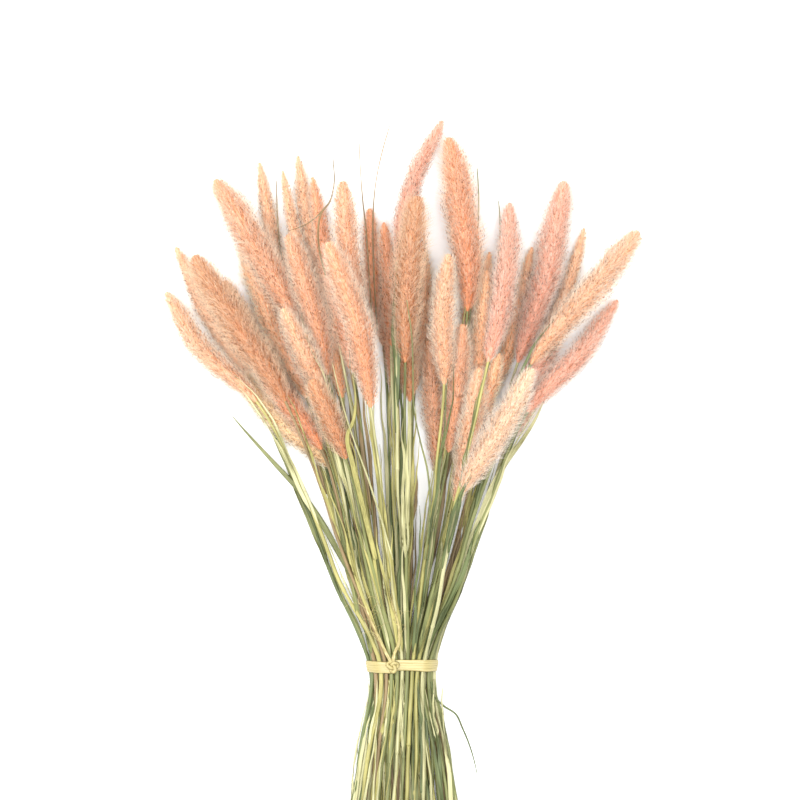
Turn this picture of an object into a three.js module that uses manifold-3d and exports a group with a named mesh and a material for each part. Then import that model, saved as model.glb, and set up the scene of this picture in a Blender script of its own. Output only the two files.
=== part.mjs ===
// A bundle of dried, dyed foxtail grass, tied at its waist and laid down on a flat surface.
//
// The surface is the plane Z = 0. The seed heads fan out towards +Y, the cut stem ends point to -Y,
// and +Z is up, away from the surface. Millimetres. The origin is the middle of the bundle's
// bounding box, on the surface.
//
// The bundle is built the way it is laid: four courses of stalks and some loose leaf blades, one
// after another from the surface upwards. Each has a fixed plan, seen from above, and comes to rest
// on whatever already lies below it, so nothing passes through anything else.

import * as THREE from 'three';
import { mergeVertices } from 'three/addons/utils/BufferGeometryUtils.js';
import Module from 'manifold-3d';

const wasm = await Module();
wasm.setup();

// ---- Driving dimensions -----------------------------------------------------------------------

const CUT_END_Y = -250; // the cut ends, measured from the tie
const CUT_END_SCATTER = 14; // how far the cut ends stray from one line
const FOOT_PITCH = 7; // spacing of the stalks of one course at their cut ends
const FOOT_SCATTER = 4; // how far a cut end strays sideways from its place
const FOOT_SHIFT = 17; // courses lean right and left by turns below the tie, and so cross
const WAIST_PITCH = 3.5; // spacing of the stalks of one course inside the tie

const CULM_FOOT_RADIUS = 1.5; // the culm with its leaf sheath, at the cut end
const CULM_NECK_RADIUS = 1.0; // the bare culm just under the seed head
const HEAD_FILL = 0.41; // solid seed head's radius, as a share of the width over the bristles
const HEAD_STIFFNESS = 0.9; // the tapered tip keeps the line of a rod of this share of the radius
const STRAIGHT_FROM = 0.25; // a culm bends at the tie, and is straight beyond this share of its length
const SIDES = 6;

const BLADE_THICKNESS = 0.7;
const GAP = 0.4; // air left between two pieces that rest on each other
const SAMPLE = 2; // spacing at which a piece is tested against those below it
const BEND_LENGTH = 30; // a hump lifts a piece over about this distance to each side
const LIFT_ROUNDS = 12;
const STEEPEST_BEND = 0.12; // most that a head's slope drops from one stretch to the next

const TIE_WIDTH = 9; // three turns of raffia side by side
const TIE_THICKNESS = 1.6;
const TIE_DIRECTIONS = 24;
const KNOT = { x: -6, radii: [4.5, 4, 3] };
const TAIL_RADII = [1.3, 0.9]; // of a loose end: half its width, half its thickness

// ---- The stalks: [tip x, tip y, neck x, neck y, width over the bristles, bow], from the tie. ----
// The neck is where the seed head meets the bare culm. The bow is how far the head's middle stands
// off its straight line, to the right when positive, looking from neck to tip.

const COURSES = {
  bottom: [
    [-148, 274, -97, 183, 15, -3], [-116, 252, -66, 165, 17, -2], [-93, 329, -74, 237, 13, -2],
    [-68, 333, -52, 244, 14, -1], [-63, 271, -43, 191, 14, 1], [-21, 299, -12, 208, 15, -2],
    [-11, 262, -3, 173, 15, -1], [14, 273, 8, 179, 15, 3], [48, 276, 39, 186, 17, 2],
    [57, 270, 44, 191, 14, 0], [85, 274, 59, 173, 14, 2], [119, 286, 89, 205, 12, 3],
    [94, 191, 55, 133, 15, 2],
  ],
  lower: [
    [-107, 190, -45, 128, 21, -2], [-104, 276, -62, 174, 21, -2], [-78, 323, -58, 234, 11, -1],
    [-58, 318, -43, 226, 14, 0], [-54, 262, -39, 174, 18, 0], [-12, 289, -7, 208, 15, 2],
    [0, 247, 5, 172, 19, 0], [17, 213, 23, 123, 18, 1], [63, 204, 39, 128, 17, 1],
    [55, 258, 41, 157, 19, 3], [106, 317, 75, 197, 23, 4], [107, 226, 63, 160, 18, 1],
  ],
  upper: [
    [-98, 208, -52, 141, 18, -1], [-122, 317, -64, 213, 25, 2], [-74, 281, -48, 189, 21, 2],
    [-38, 314, -26, 218, 19, -2], [-44, 262, -31, 191, 22, 1], [27, 356, -3, 262, 15, -6],
    [30, 344, 42, 230, 25, 3], [39, 223, 30, 139, 18, 1], [50, 195, 35, 105, 18, 1],
    [154, 283, 83, 196, 22, 0], [141, 239, 81, 165, 18, 3],
  ],
  top: [
    [-154, 244, -94, 172, 18, -6], [-135, 267, -75, 172, 25, 0], [-77, 233, -49, 170, 19, 1],
    [-58, 187, -36, 135, 19, 1], [-48, 275, -20, 168, 21, 5], [10, 305, 2, 197, 23, -2],
    [30, 268, 27, 183, 19, -3], [70, 302, 55, 197, 19, 4], [84, 194, 39, 114, 21, 1],
  ],
};

// ---- The loose leaf blades: the course they lie on, half their width, and their plan. -----------

const BLADES = {
  leaf_long_left: ['lower', 2.6, [[-26, 47], [-46, 83], [-66, 113], [-88, 137], [-111, 163]]],
  leaf_long_right: ['lower', 2.8, [[34, 50], [54, 108], [66, 131], [83, 154], [93, 174]]],
  leaf_dark_right: ['bottom', 2.4, [[34, 60], [50, 95], [63, 124], [77, 157]]],
  leaf_wisp_middle: ['bottom', 1.2, [[-16, 218], [-19, 283], [-16, 321], [-8, 352]]],
  leaf_wisp_inner: ['lower', 1.2, [[-19, 218], [-23, 279], [-26, 308], [-28, 341]]],
  leaf_wisp_left: ['lower', 1.2, [[-66, 218], [-79, 270], [-81, 292], [-82, 316]]],
  leaf_curled: ['upper', 1.7, [[-49, 253], [-54, 276], [-52, 293], [-45, 304], [-45, 331]]],
  leaf_olive_right: ['bottom', 1.6, [[39, 186], [46, 247], [48, 273], [50, 299], [49, 324]]],
  leaf_short_right: ['bottom', 1.2, [[60, 237], [64, 286], [63, 303]]],
  leaf_folded: ['top', 2.4, [[-17, 70], [-29, 121], [-35, 151], [-30, 163], [-32, 191]]],
  leaf_straw: ['top', 1.6, [[-6, 70], [-17, 108], [-37, 166], [-45, 197]]],
  leaf_centre: ['top', 1.8, [[15, 70], [18, 118], [13, 141], [7, 173], [7, 205], [3, 237]]],
  leaf_bent_foot: ['top', 1.8, [[19, -10], [22, -22], [34, -30], [40, -42], [46, -58], [49, -71]]],
};

// ---- Colours ------------------------------------------------------------------------------------

const HEAD_COLOURS = ['#efc0a0', '#e5a680', '#e8b095', '#c98662'];
const BLADE_COLOURS = ['#b9b98a', '#8c8f5f', '#6f7449'];
const RAFFIA_COLOUR = '#d8cd94';

// ---- Small helpers --------------------------------------------------------------------------------

const UP = new THREE.Vector3(0, 0, 1);

/** A number between -1 and 1 that looks random but is always the same for the same n. */
function stray(n) {
  const wave = Math.sin(n * 12.9898) * 43758.5453;
  return 2 * (wave - Math.floor(wave)) - 1;
}

function material(colour, roughness = 0.9) {
  return new THREE.MeshStandardMaterial({ color: colour, roughness, metalness: 0 });
}

/** Radius of a spindle, as a share of its greatest, at u from its root (0) to its tip (1). */
function spindle(u) {
  const shape = (v) => Math.pow(v, 0.36) * Math.pow(1 - v, 0.3);
  return shape(THREE.MathUtils.clamp(u, 0, 1)) / shape(0.545);
}

/** Width of a leaf blade, as a share of its greatest, at u from its foot (0) to its tip (1). */
function bladeWidth(u) {
  return 0.35 + 0.65 * Math.sin(Math.PI * (0.2 + 0.75 * u));
}

// ---- Laying down ------------------------------------------------------------------------------------
// A piece is a row of knots {x, y, z, r, rest}: the centre of its section, the radius of the ball
// that holds it there, and the radius on which it rests. A seed head is stiff, so it rests as a
// straight rod of nearly its full width, tip and all. Laying a piece down finds the z of its knots.

const laid = []; // every stretch between two knots that already lies in the heap

/** Lowest z at which a ball of radius r over (x, y) clears the surface, the tie and the heap. */
function restingHeight(x, y, r) {
  const underTie = Math.abs(y) < TIE_WIDTH / 2 + r + GAP ? TIE_THICKNESS + GAP : 0;
  let z = r + underTie;
  for (const { a, b } of laid) {
    const dx = b.x - a.x;
    const dy = b.y - a.y;
    const along = ((x - a.x) * dx + (y - a.y) * dy) / (dx * dx + dy * dy);
    const t = THREE.MathUtils.clamp(along, 0, 1);
    const reach = r + a.r + t * (b.r - a.r) + GAP;
    const off = Math.hypot(x - a.x - t * dx, y - a.y - t * dy);
    if (off < reach) z = Math.max(z, a.z + t * (b.z - a.z) + Math.sqrt(reach * reach - off * off));
  }
  return z;
}

/** Gives each knot its distance s along the piece, seen from above. */
function measure(knots) {
  knots.forEach((knot, k) => {
    const before = knots[k - 1];
    knot.s = before ? before.s + Math.hypot(knot.x - before.x, knot.y - before.y) : 0;
  });
}

/** The places at which a row of knots is tested: distance s, stretch k, share t of it, lowest z. */
function testPlaces(knots) {
  return knots.slice(1).flatMap((b, k) => {
    const a = knots[k];
    const count = Math.max(1, Math.ceil((b.s - a.s) / SAMPLE));
    return Array.from({ length: count + 1 }, (_, i) => {
      const t = i / count;
      const mix = (key) => a[key] + t * (b[key] - a[key]);
      return { k, t, s: mix('s'), z: restingHeight(mix('x'), mix('y'), mix('rest')) };
    });
  });
}

/** The tightest line over the places that only bends downwards, like a rod resting on humps. */
function rodOver(places) {
  const hull = [];
  for (const p of places) {
    while (hull.length > 1) {
      const [o, q] = hull.slice(-2);
      if ((q.z - o.z) * (p.s - o.s) > (p.z - o.z) * (q.s - o.s)) break;
      hull.pop();
    }
    hull.push(p);
  }
  return (s) => {
    const i = Math.max(1, hull.findIndex((p) => p.s >= s - 1e-9));
    const [o, q] = [hull[i - 1], hull[i]];
    return q.s > o.s ? o.z + ((q.z - o.z) * (s - o.s)) / (q.s - o.s) : Math.max(o.z, q.z);
  };
}

/**
 * Rests the knots on the heap. `held` is the knot inside the tie, where a stalk is pressed down.
 * A rod laid over the humps gives each knot its first height. Where the piece still cuts into
 * something, it is lifted in a bell as wide as a dry culm bends. Last, the seed head, which starts
 * at knot `stiffFrom`, is kept from bending down more sharply than a dry one does.
 */
function layDown(knots, held = 0, stiffFrom = knots.length) {
  measure(knots);
  const places = testPlaces(knots);
  const tieS = knots[held].s;
  const over = rodOver(places.filter((p) => p.s >= tieS));
  const under = held > 0 ? rodOver(places.filter((p) => p.s <= tieS)) : over;
  knots.forEach((knot, k) => (knot.z = k < held ? under(knot.s) : over(knot.s)));
  for (let round = 0; round < LIFT_ROUNDS; round++) {
    for (const { s, k, t, z } of places) {
      const short = z - (knots[k].z + t * (knots[k + 1].z - knots[k].z));
      if (short <= 0) continue;
      const bell = knots.map((knot) => Math.exp(-(((knot.s - s) / BEND_LENGTH) ** 2)));
      const lift = short / (bell[k] + t * (bell[k + 1] - bell[k]));
      knots.forEach((knot, i) => (knot.z += lift * bell[i]));
    }
  }
  const stiffen = (from, here, to) => {
    const slope = (here.z - from.z) / (here.s - from.s) - STEEPEST_BEND;
    to.z = Math.max(to.z, here.z + slope * (to.s - here.s));
  };
  for (let k = stiffFrom; k + 1 < knots.length; k++) stiffen(knots[k - 1], knots[k], knots[k + 1]);
  for (let k = 0; k + 1 < knots.length; k++) laid.push({ a: knots[k], b: knots[k + 1] });
  return knots;
}

/** A closed rod through the knots: a lathe turned with the knot number as its height, then bent. */
function bentRod(knots, sides, halfThickness = null) {
  const last = knots.length - 1;
  const profile = [
    new THREE.Vector2(0, 0),
    ...knots.map((knot, k) => new THREE.Vector2(knot.r, k)),
    new THREE.Vector2(0, last),
  ];
  const geometry = new THREE.LatheGeometry(profile, sides);
  const places = geometry.getAttribute('position');
  const at = knots.map(({ x, y, z }) => new THREE.Vector3(x, y, z));
  for (let i = 0; i < places.count; i++) {
    const k = Math.round(places.getY(i));
    const along = at[Math.min(k + 1, last)].clone().sub(at[Math.max(k - 1, 0)]).normalize();
    const side = along.clone().cross(UP).normalize();
    const over = side.clone().cross(along);
    const flat = halfThickness === null ? 1 : halfThickness / Math.max(knots[k].r, halfThickness);
    const point = at[k].clone()
      .addScaledVector(side, places.getX(i))
      .addScaledVector(over, places.getZ(i) * flat);
    places.setXYZ(i, point.x, point.y, point.z);
  }
  return geometry;
}

// ---- Stalks --------------------------------------------------------------------------------------------

const LOWER_CULM = [0, 0.3, 0.6, 0.85]; // knots from the cut end to the tie
const UPPER_CULM = [0, 0.25, 0.5, 0.75]; // knots from the tie to the neck
const HEAD = [0, 0.05, 0.2, 0.45, 0.7, 0.9, 1]; // knots from the neck to the tip

/** Knots of one stalk in plan: cut end, tie, neck, head. `place` counts from the course's middle. */
function stalkKnots([tipX, tipY, neckX, neckY, width, bow], place, lean, number) {
  const foot = new THREE.Vector3(
    place * FOOT_PITCH + lean * FOOT_SHIFT + FOOT_SCATTER * stray(number + 0.5),
    CUT_END_Y + CUT_END_SCATTER * stray(number),
  );
  const waist = new THREE.Vector3(place * WAIST_PITCH, 0);
  const neck = new THREE.Vector3(neckX, neckY);
  const tip = new THREE.Vector3(tipX, tipY);
  const axis = tip.clone().sub(neck);
  const aside = new THREE.Vector3(axis.y, -axis.x).normalize();
  const middle = neck.clone().addScaledVector(axis, 0.5).addScaledVector(aside, bow);
  const below = waist.clone().lerp(foot, STRAIGHT_FROM);
  const above = waist.clone().lerp(neck, STRAIGHT_FROM);
  const plan = new THREE.CatmullRomCurve3([foot, below, waist, above, neck, middle, tip]);
  const taper = (share) => CULM_FOOT_RADIUS + share * (CULM_NECK_RADIUS - CULM_FOOT_RADIUS);
  const full = width * HEAD_FILL;
  const knot = (t, r, rest = r) => ({ x: plan.getPoint(t).x, y: plan.getPoint(t).y, r, rest });
  return [
    ...LOWER_CULM.map((t) => knot(t / 3, taper(t / 2))),
    ...UPPER_CULM.map((t) => knot((1 + t) / 3, taper((1 + t) / 2))),
    ...HEAD.map((u) => {
      const r = Math.max(CULM_NECK_RADIUS, full * spindle(u));
      return knot((2 + u) / 3, r, u < HEAD[2] ? r : Math.max(r, HEAD_STIFFNESS * full));
    }),
  ];
}

// ---- The tie ---------------------------------------------------------------------------------------------

/** Outline in XZ around everything inside the tie, `offset` outside it, as straight tangents. */
function tieOutline(offset) {
  const half = TIE_WIDTH / 2 + GAP;
  const balls = [];
  for (const { a, b } of laid) {
    for (let t = 0; t <= 1; t += 0.02) {
      const y = a.y + t * (b.y - a.y);
      if (Math.abs(y) > half) continue;
      const slope = Math.hypot(b.x - a.x, b.y - a.y, b.z - a.z) / Math.abs(b.y - a.y);
      const mix = (key) => a[key] + t * (b[key] - a[key]);
      balls.push({ x: mix('x'), z: mix('z'), r: mix('r') * slope + GAP });
    }
  }
  const tangents = Array.from({ length: TIE_DIRECTIONS }, (_, i) => {
    const angle = (i * 2 * Math.PI) / TIE_DIRECTIONS;
    const [nx, nz] = [Math.cos(angle), Math.sin(angle)];
    const distance = Math.max(...balls.map((c) => c.x * nx + c.z * nz + c.r)) + offset;
    return { nx, nz, distance };
  });
  return tangents.map((m, i) => {
    const n = tangents[(i + 1) % TIE_DIRECTIONS];
    const cross = m.nx * n.nz - m.nz * n.nx;
    return new THREE.Vector2(
      (m.distance * n.nz - n.distance * m.nz) / cross,
      (n.distance * m.nx - m.distance * n.nx) / cross,
    );
  });
}

function toManifold(geometry) {
  const bare = geometry.index ? geometry.toNonIndexed() : geometry.clone();
  bare.deleteAttribute('normal');
  bare.deleteAttribute('uv');
  const merged = mergeVertices(bare, 1e-4);
  const corner = merged.index.array;
  const kept = [];
  for (let i = 0; i < corner.length; i += 3) {
    const [a, b, c] = corner.slice(i, i + 3);
    if (a !== b && b !== c && c !== a) kept.push(a, b, c);
  }
  return new wasm.Manifold(new wasm.Mesh({
    numProp: 3,
    vertProperties: merged.getAttribute('position').array,
    triVerts: new Uint32Array(kept),
  }));
}

function fromManifold(solid) {
  const mesh = solid.getMesh();
  const geometry = new THREE.BufferGeometry();
  geometry.setAttribute('position', new THREE.BufferAttribute(mesh.vertProperties, 3));
  geometry.setIndex(new THREE.BufferAttribute(mesh.triVerts, 1));
  return geometry;
}

/** Raffia: a flat oval ring round the stalks, a knot on top of it and two loose ends. */
function tieGeometry() {
  const ring = new THREE.Shape(tieOutline(TIE_THICKNESS));
  ring.holes.push(new THREE.Path(tieOutline(0)));
  const band = new THREE.ExtrudeGeometry(ring, { depth: TIE_WIDTH, bevelEnabled: false });
  band.rotateX(Math.PI / 2).translate(0, TIE_WIDTH / 2, 0);
  const top = Math.max(...tieOutline(TIE_THICKNESS).map((p) => p.y));
  const knotZ = top + KNOT.radii[2] / 2;
  const knot = new THREE.SphereGeometry(1, 10, 6).scale(...KNOT.radii).translate(KNOT.x, 0, knotZ);
  const ends = [[[-4, 8], [-14, 30], [-19, 44]], [[1, 8], [4, 24], [-1, 44]]];
  const tails = ends.map((plan) => {
    const knots = plan.map(([x, y]) => ({ x: KNOT.x + x, y, r: TAIL_RADII[0], rest: TAIL_RADII[0] }));
    layDown(knots);
    return bentRod([{ x: KNOT.x, y: 1, z: knotZ, r: TAIL_RADII[0] }, ...knots], 6, TAIL_RADII[1]);
  });
  const solid = [knot, ...tails].map(toManifold).reduce((all, one) => all.add(one), toManifold(band));
  return fromManifold(solid);
}

// ---- The bundle ------------------------------------------------------------------------------------------

const bundle = new THREE.Group();
let number = 0;

function add(name, geometry, colour) {
  const mesh = new THREE.Mesh(geometry, material(colour));
  mesh.name = name;
  bundle.add(mesh);
}

Object.entries(COURSES).forEach(([course, stalks], level) => {
  const leanOf = ([, , neckX, neckY]) => Math.atan2(neckX, neckY);
  const ordered = [...stalks].sort((a, b) => leanOf(a) - leanOf(b));
  ordered.forEach((stalk, i) => {
    const place = i - (ordered.length - 1) / 2;
    const lean = level % 2 ? -1 : 1;
    const tieKnot = LOWER_CULM.length;
    const neckKnot = tieKnot + UPPER_CULM.length;
    const knots = layDown(stalkKnots(stalk, place, lean, number), tieKnot, neckKnot);
    const name = `foxtail_${course}_${String(i + 1).padStart(2, '0')}`;
    add(name, bentRod(knots, SIDES), HEAD_COLOURS[number % HEAD_COLOURS.length]);
    number += 1;
  });
  Object.entries(BLADES).filter(([, [on]]) => on === course).forEach(([name, [, half, plan]]) => {
    const curve = new THREE.CatmullRomCurve3(plan.map(([x, y]) => new THREE.Vector3(x, y)));
    const count = plan.length + 2;
    const knots = curve.getPoints(count - 1).map(({ x, y }, k) => {
      const r = half * bladeWidth(k / (count - 1));
      return { x, y, r, rest: r };
    });
    layDown(knots);
    add(name, bentRod(knots, 4, BLADE_THICKNESS / 2), BLADE_COLOURS[number % BLADE_COLOURS.length]);
    number += 1;
  });
});

add('raffia_tie', tieGeometry(), RAFFIA_COLOUR);

const box = new THREE.Box3().setFromObject(bundle);
const middle = box.getCenter(new THREE.Vector3());
bundle.position.set(-middle.x, -middle.y, -box.min.z);

export default bundle;
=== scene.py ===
"""A bundle of dried, dyed foxtail grass, tied with raffia and laid down on a table."""

import math

import bpy
import numpy as np
from bpy.props import FloatProperty, FloatVectorProperty, IntProperty, PointerProperty
from bpy.types import Operator, Panel, PropertyGroup
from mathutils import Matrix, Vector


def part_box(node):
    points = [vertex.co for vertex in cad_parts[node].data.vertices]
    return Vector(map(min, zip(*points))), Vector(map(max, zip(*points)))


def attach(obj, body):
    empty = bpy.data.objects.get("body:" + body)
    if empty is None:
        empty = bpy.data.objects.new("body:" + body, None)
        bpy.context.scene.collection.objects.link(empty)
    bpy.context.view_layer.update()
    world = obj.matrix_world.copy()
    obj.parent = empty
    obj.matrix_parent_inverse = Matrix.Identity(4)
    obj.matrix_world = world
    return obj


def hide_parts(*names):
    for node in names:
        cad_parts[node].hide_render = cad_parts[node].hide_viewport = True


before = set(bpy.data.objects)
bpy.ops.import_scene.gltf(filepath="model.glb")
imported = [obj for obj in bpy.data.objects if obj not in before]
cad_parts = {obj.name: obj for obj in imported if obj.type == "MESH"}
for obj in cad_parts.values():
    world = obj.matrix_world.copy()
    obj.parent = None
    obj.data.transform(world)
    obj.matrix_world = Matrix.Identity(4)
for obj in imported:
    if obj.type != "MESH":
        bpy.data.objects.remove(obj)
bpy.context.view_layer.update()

bl_info = {
    "name": "Dried Foxtail Bundle",
    "version": (1, 0, 0),
    "blender": (4, 5, 0),
    "location": "View3D > Sidebar > Bundle",
    "description": "Grows a bundle of dried, dyed foxtail grass on the rods of its CAD part",
    "category": "Add Mesh",
}

MM = 0.001
UP = np.array([0.0, 0.0, 1.0])
ATLAS = "OFBake"

# ---- What the CAD rods give ----------------------------------------------------------------------

NECK_RING = 8  # the ring of a foxtail's rod where the culm ends and the head starts
TIE_RING = 4  # the ring of a foxtail's rod that lies in the tie
CORE_SHARE = 0.41  # a rod's half-width, as a share of the head's whole width over the bristles
TIE_WIDTH = 9 * MM
FLOOR_GAP = 0.15 * MM

# ---- Fixed sizes and places ----------------------------------------------------------------------

GOLDEN_ANGLE = 2.39996
CLEAR_OF_TIE = 9 * MM  # between the tie's middle and the nearest end of a sheath blade
STRAW_FIBRES, LEAF_FIBRES = 155.0, 45.0  # over the whole atlas, so that each lies 0.3 mm apart
WISP = 1.8 * MM  # a leaf whose rod is thinner than this is a thread-like wisp
BALL = 1.5 * MM  # radius of the ball that feels for the top of the heap
KNOT_X = -6 * MM
TABLE_REACH = 40.0
HEAP_MIDDLE = 0.035  # height at which the view is as wide as its setting says
SENSOR = 36
VIEW_MIDDLE = (-0.0013, 0.173)  # from the middle of the tie
LIT_PLACE = (0, 0.13, 0.03)
LAMPS = (  # name, place, size, watts
    ("key_softbox", (-1.1, 0.6, 1.7), 1.3, 27.0),
    ("overhead_softbox", (0.1, 0.1, 2.3), 1.2, 52.0),
)

# ---- Colours of the dye lots and of the straw, as sRGB hex ---------------------------------------

# lot: (husk, bristle, tip of the bristle)
DYES = {
    "peach": ("#dc8f60", "#f7c49b", "#ffead2"),
    "light": ("#e6a578", "#fbd0a8", "#fff0da"),
    "blush": ("#ecbb93", "#fbddbb", "#fff5e6"),
    "pink": ("#e29270", "#f9c5aa", "#ffecdc"),
    "coral": ("#dc8452", "#f5b68a", "#ffe2c6"),
    "tan": ("#c0784b", "#e2ab7e", "#f9dcbb"),
    "rust": ("#ba6739", "#db9a6c", "#f5caaa"),
    "cream": ("#eabc86", "#fbdfb0", "#fff4da"),
    # not a dye of its own: a lighter copy of the dye for heads that lie in the shade, which is painted
    # light
    "bright": ("#f3a26d", "#ffd4a6", "#fff3d9"),
}
# stem: (straw, its dark streaks)
STEMS = {
    "straw": ("#cdc99a", "#6c6a38"),
    "yellow": ("#b8b06c", "#5c5a27"),
    "olive": ("#8a8e57", "#383c1c"),
    "green": ("#707b4b", "#2a3117"),
    "brown": ("#98815a", "#43361e"),
}
# course: the dye lot of each stalk, in its node's order. Heads in the shade low in the heap mostly take
# a lot made lighter than their dye, which is painted light.
LOTS = {
    "bottom": "light rust light bright light coral coral bright bright bright bright light light",
    "lower": "bright cream light bright coral coral tan peach bright bright pink pink",
    "upper": "coral peach peach coral peach pink coral peach light light pink",
    "top": "light tan light tan peach tan light pink blush",
}
LEAF_STEMS = {
    "leaf_long_left": "olive",
    "leaf_dark_right": "green",
    "leaf_wisp_middle": "brown",
    "leaf_wisp_inner": "brown",
    "leaf_wisp_left": "brown",
    "leaf_curled": "brown",
    "leaf_olive_right": "olive",
    "leaf_short_right": "olive",
    "leaf_folded": "yellow",
    "leaf_centre": "olive",
    "leaf_bent_foot": "green",
}


def linear(code):
    """An sRGB hex colour as linear red, green, blue and full opacity."""
    parts = [int(code[i : i + 2], 16) / 255 for i in (1, 3, 5)]
    return tuple(c / 12.92 if c <= 0.04045 else ((c + 0.055) / 1.055) ** 2.4 for c in parts) + (1.0,)


# ---- Settings ------------------------------------------------------------------------------------


def colour(name, description, code):
    look = {"default": linear(code), "size": 4, "min": 0, "max": 1, "subtype": "COLOR"}
    return FloatVectorProperty(name=name, description=description, **look)


def length(name, description, millimetres):
    default = millimetres * MM
    return FloatProperty(name=name, description=description, default=default, min=0, unit="LENGTH")


def density(name, what, default):
    what += " for each square millimetre of a head seen from one side"
    return FloatProperty(name=name, description=what, default=default, min=0)


class FoxtailSettings(PropertyGroup):
    bristle_length: length("Bristle length", "Length of a bristle at the middle of a head", 8)
    bristle_width: length("Bristle width", "Width of a bristle at its root", 0.13)
    bent: density("Bent bristles", "Bent bristles", 0.66)
    straight: density("Straight bristles", "Straight bristles", 1.3)
    husk_length: length("Husk length", "Length of one husk, with its grain", 2.0)
    husks: density("Husks", "Husks", 0.74)
    seeds: density("Ripe seeds", "Open ripe seeds", 0.13)
    awns: density("Brown awns", "Short brown awns that lie along the head", 0.36)
    waviness: length("Waviness", "How far a dried culm wanders from a smooth line", 0.8)


class LeafSettings(PropertyGroup):
    blade_length: length("Sheath blade length", "Usual length of the blades on the culms", 105)
    blade_width: length("Sheath blade width", "Usual width of the blades on the culms", 2.2)
    thickness: length("Thickness", "Thickness of a dried blade", 0.25)


class TieSettings(PropertyGroup):
    turns: IntProperty(name="Turns", description="Turns of raffia", default=4, min=1, max=6)
    strand_width: length("Strand width", "Width of a strand of raffia", 2.9)
    strand_thickness: length("Strand thickness", "Thickness of a strand of raffia", 0.6)
    raffia: colour("Raffia", "Colour of the raffia", "#cdbf88")


class StageSettings(PropertyGroup):
    floor: colour("Table", "Colour of the table top", "#f8f9f9")
    view_width: length("View width", "Width of the view, over the heap", 516)
    view_distance: length("Camera height", "Height of the camera over the table", 3200)


# ---- Curves --------------------------------------------------------------------------------------


def rod(name):
    """Centres and half-widths of a CAD rod's rings, from one end to the other.

    Corners shared by triangles are joined, and a corner's step count is how many edges it lies from
    a start. Only the corner in the middle of an end cap gives one corner, then equal rings, then one
    corner again.
    """
    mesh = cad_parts[name].data
    corners = np.empty(len(mesh.vertices) * 3, np.float32)
    mesh.vertices.foreach_get("co", corners)
    loops = np.empty(len(mesh.loops), np.int32)
    mesh.loops.foreach_get("vertex_index", loops)
    shared, which = np.unique(corners.reshape(-1, 3).round(6), axis=0, return_inverse=True)
    triangles = which.reshape(-1)[loops].reshape(-1, 3)
    near = np.eye(len(shared), dtype=np.int32)
    for a, b in ((0, 1), (1, 2), (2, 0)):
        near[triangles[:, a], triangles[:, b]] = near[triangles[:, b], triangles[:, a]] = 1
    steps = np.full(near.shape, -1)
    reach = np.eye(len(shared), dtype=np.int32)
    for step in range(40):
        steps[(reach > 0) & (steps < 0)] = step
        reach = ((reach @ near) > 0).astype(np.int32)
    for row in steps:
        sizes = np.bincount(row)
        if sizes[0] == sizes[-1] == 1 and len(sizes) > 3 and np.ptp(sizes[1:-1]) == 0:
            rings = np.array([shared[row == step] for step in range(1, len(sizes) - 1)])
            centres = rings.mean(1)
            radii = np.linalg.norm(rings - centres[:, None], axis=2).max(1)
            return centres.astype(float), radii.astype(float)
    raise RuntimeError(f"{name} is not a rod with two closed ends")


def tie_middle():
    """Where the middle of the tie's band lies in plan. Its loose ends reach on from the band."""
    low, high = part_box("raffia_tie")
    return np.array([(low.x + high.x) / 2, low.y + TIE_WIDTH / 2])


def distances(knots):
    """How far along the chords each knot lies."""
    return np.concatenate([[0], np.cumsum(np.linalg.norm(np.diff(knots, axis=0), axis=1))])


def follow(knots, at):
    """Points and unit directions of the smooth curve through the knots, at distances along them.

    Between two knots it is the cubic with the knots' slopes, which are differences over both
    neighbours. Past either end it goes straight on.
    """
    s = distances(knots)
    slope = np.gradient(knots, s, axis=0)
    at = np.asarray(at, float)
    i = np.clip(np.searchsorted(s, at) - 1, 0, len(s) - 2)
    h = (s[i + 1] - s[i])[:, None]
    inside = np.clip(at, 0, s[-1])
    t = ((inside - s[i])[:, None]) / h
    a, b, m, n = knots[i], knots[i + 1], slope[i] * h, slope[i + 1] * h
    points = (2 * t**3 - 3 * t**2 + 1) * a + (t**3 - 2 * t**2 + t) * m
    points = points + (3 * t**2 - 2 * t**3) * b + (t**3 - t**2) * n
    ways = (6 * t**2 - 6 * t) * (a - b) + (3 * t**2 - 4 * t + 1) * m + (3 * t**2 - 2 * t) * n
    ways /= np.linalg.norm(ways, axis=1)[:, None]
    return points + ways * (at - inside)[:, None], ways


def sides(ways):
    """For directions that are never upright: the level one to their right, and one square to both."""
    right = np.cross(ways, UP)
    right /= np.linalg.norm(right, axis=1)[:, None]
    return right, np.cross(right, ways)


def wander(rng, at, wave):
    """A smooth wandering line, about -1 to 1: three sine waves of random phase near a wavelength."""
    waves = zip((1.0, 0.57, 0.31), rng.uniform(0, 2 * math.pi, 3), (0.6, 0.3, 0.15))
    return sum(np.sin(2 * math.pi * at / (wave * k) + p) * w for k, p, w in waves)


def over_floor(points, softness=0.35 * MM):
    """Points pressed up by the floor: the soft maximum of their height and the gap over the floor."""
    z = (points[..., 2] - FLOOR_GAP) / softness
    pressed = points.copy()
    pressed[..., 2] = FLOOR_GAP + softness * np.logaddexp(0, z)
    return pressed


# ---- Surfaces: each is (points, triangles, atlas places of their corners, finish number) ---------


def places(*corners):
    """The atlas places of triangles, from the u and v of each corner."""
    return np.stack([np.stack(np.broadcast_arrays(u, v), -1) for u, v in corners], 1)


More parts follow.
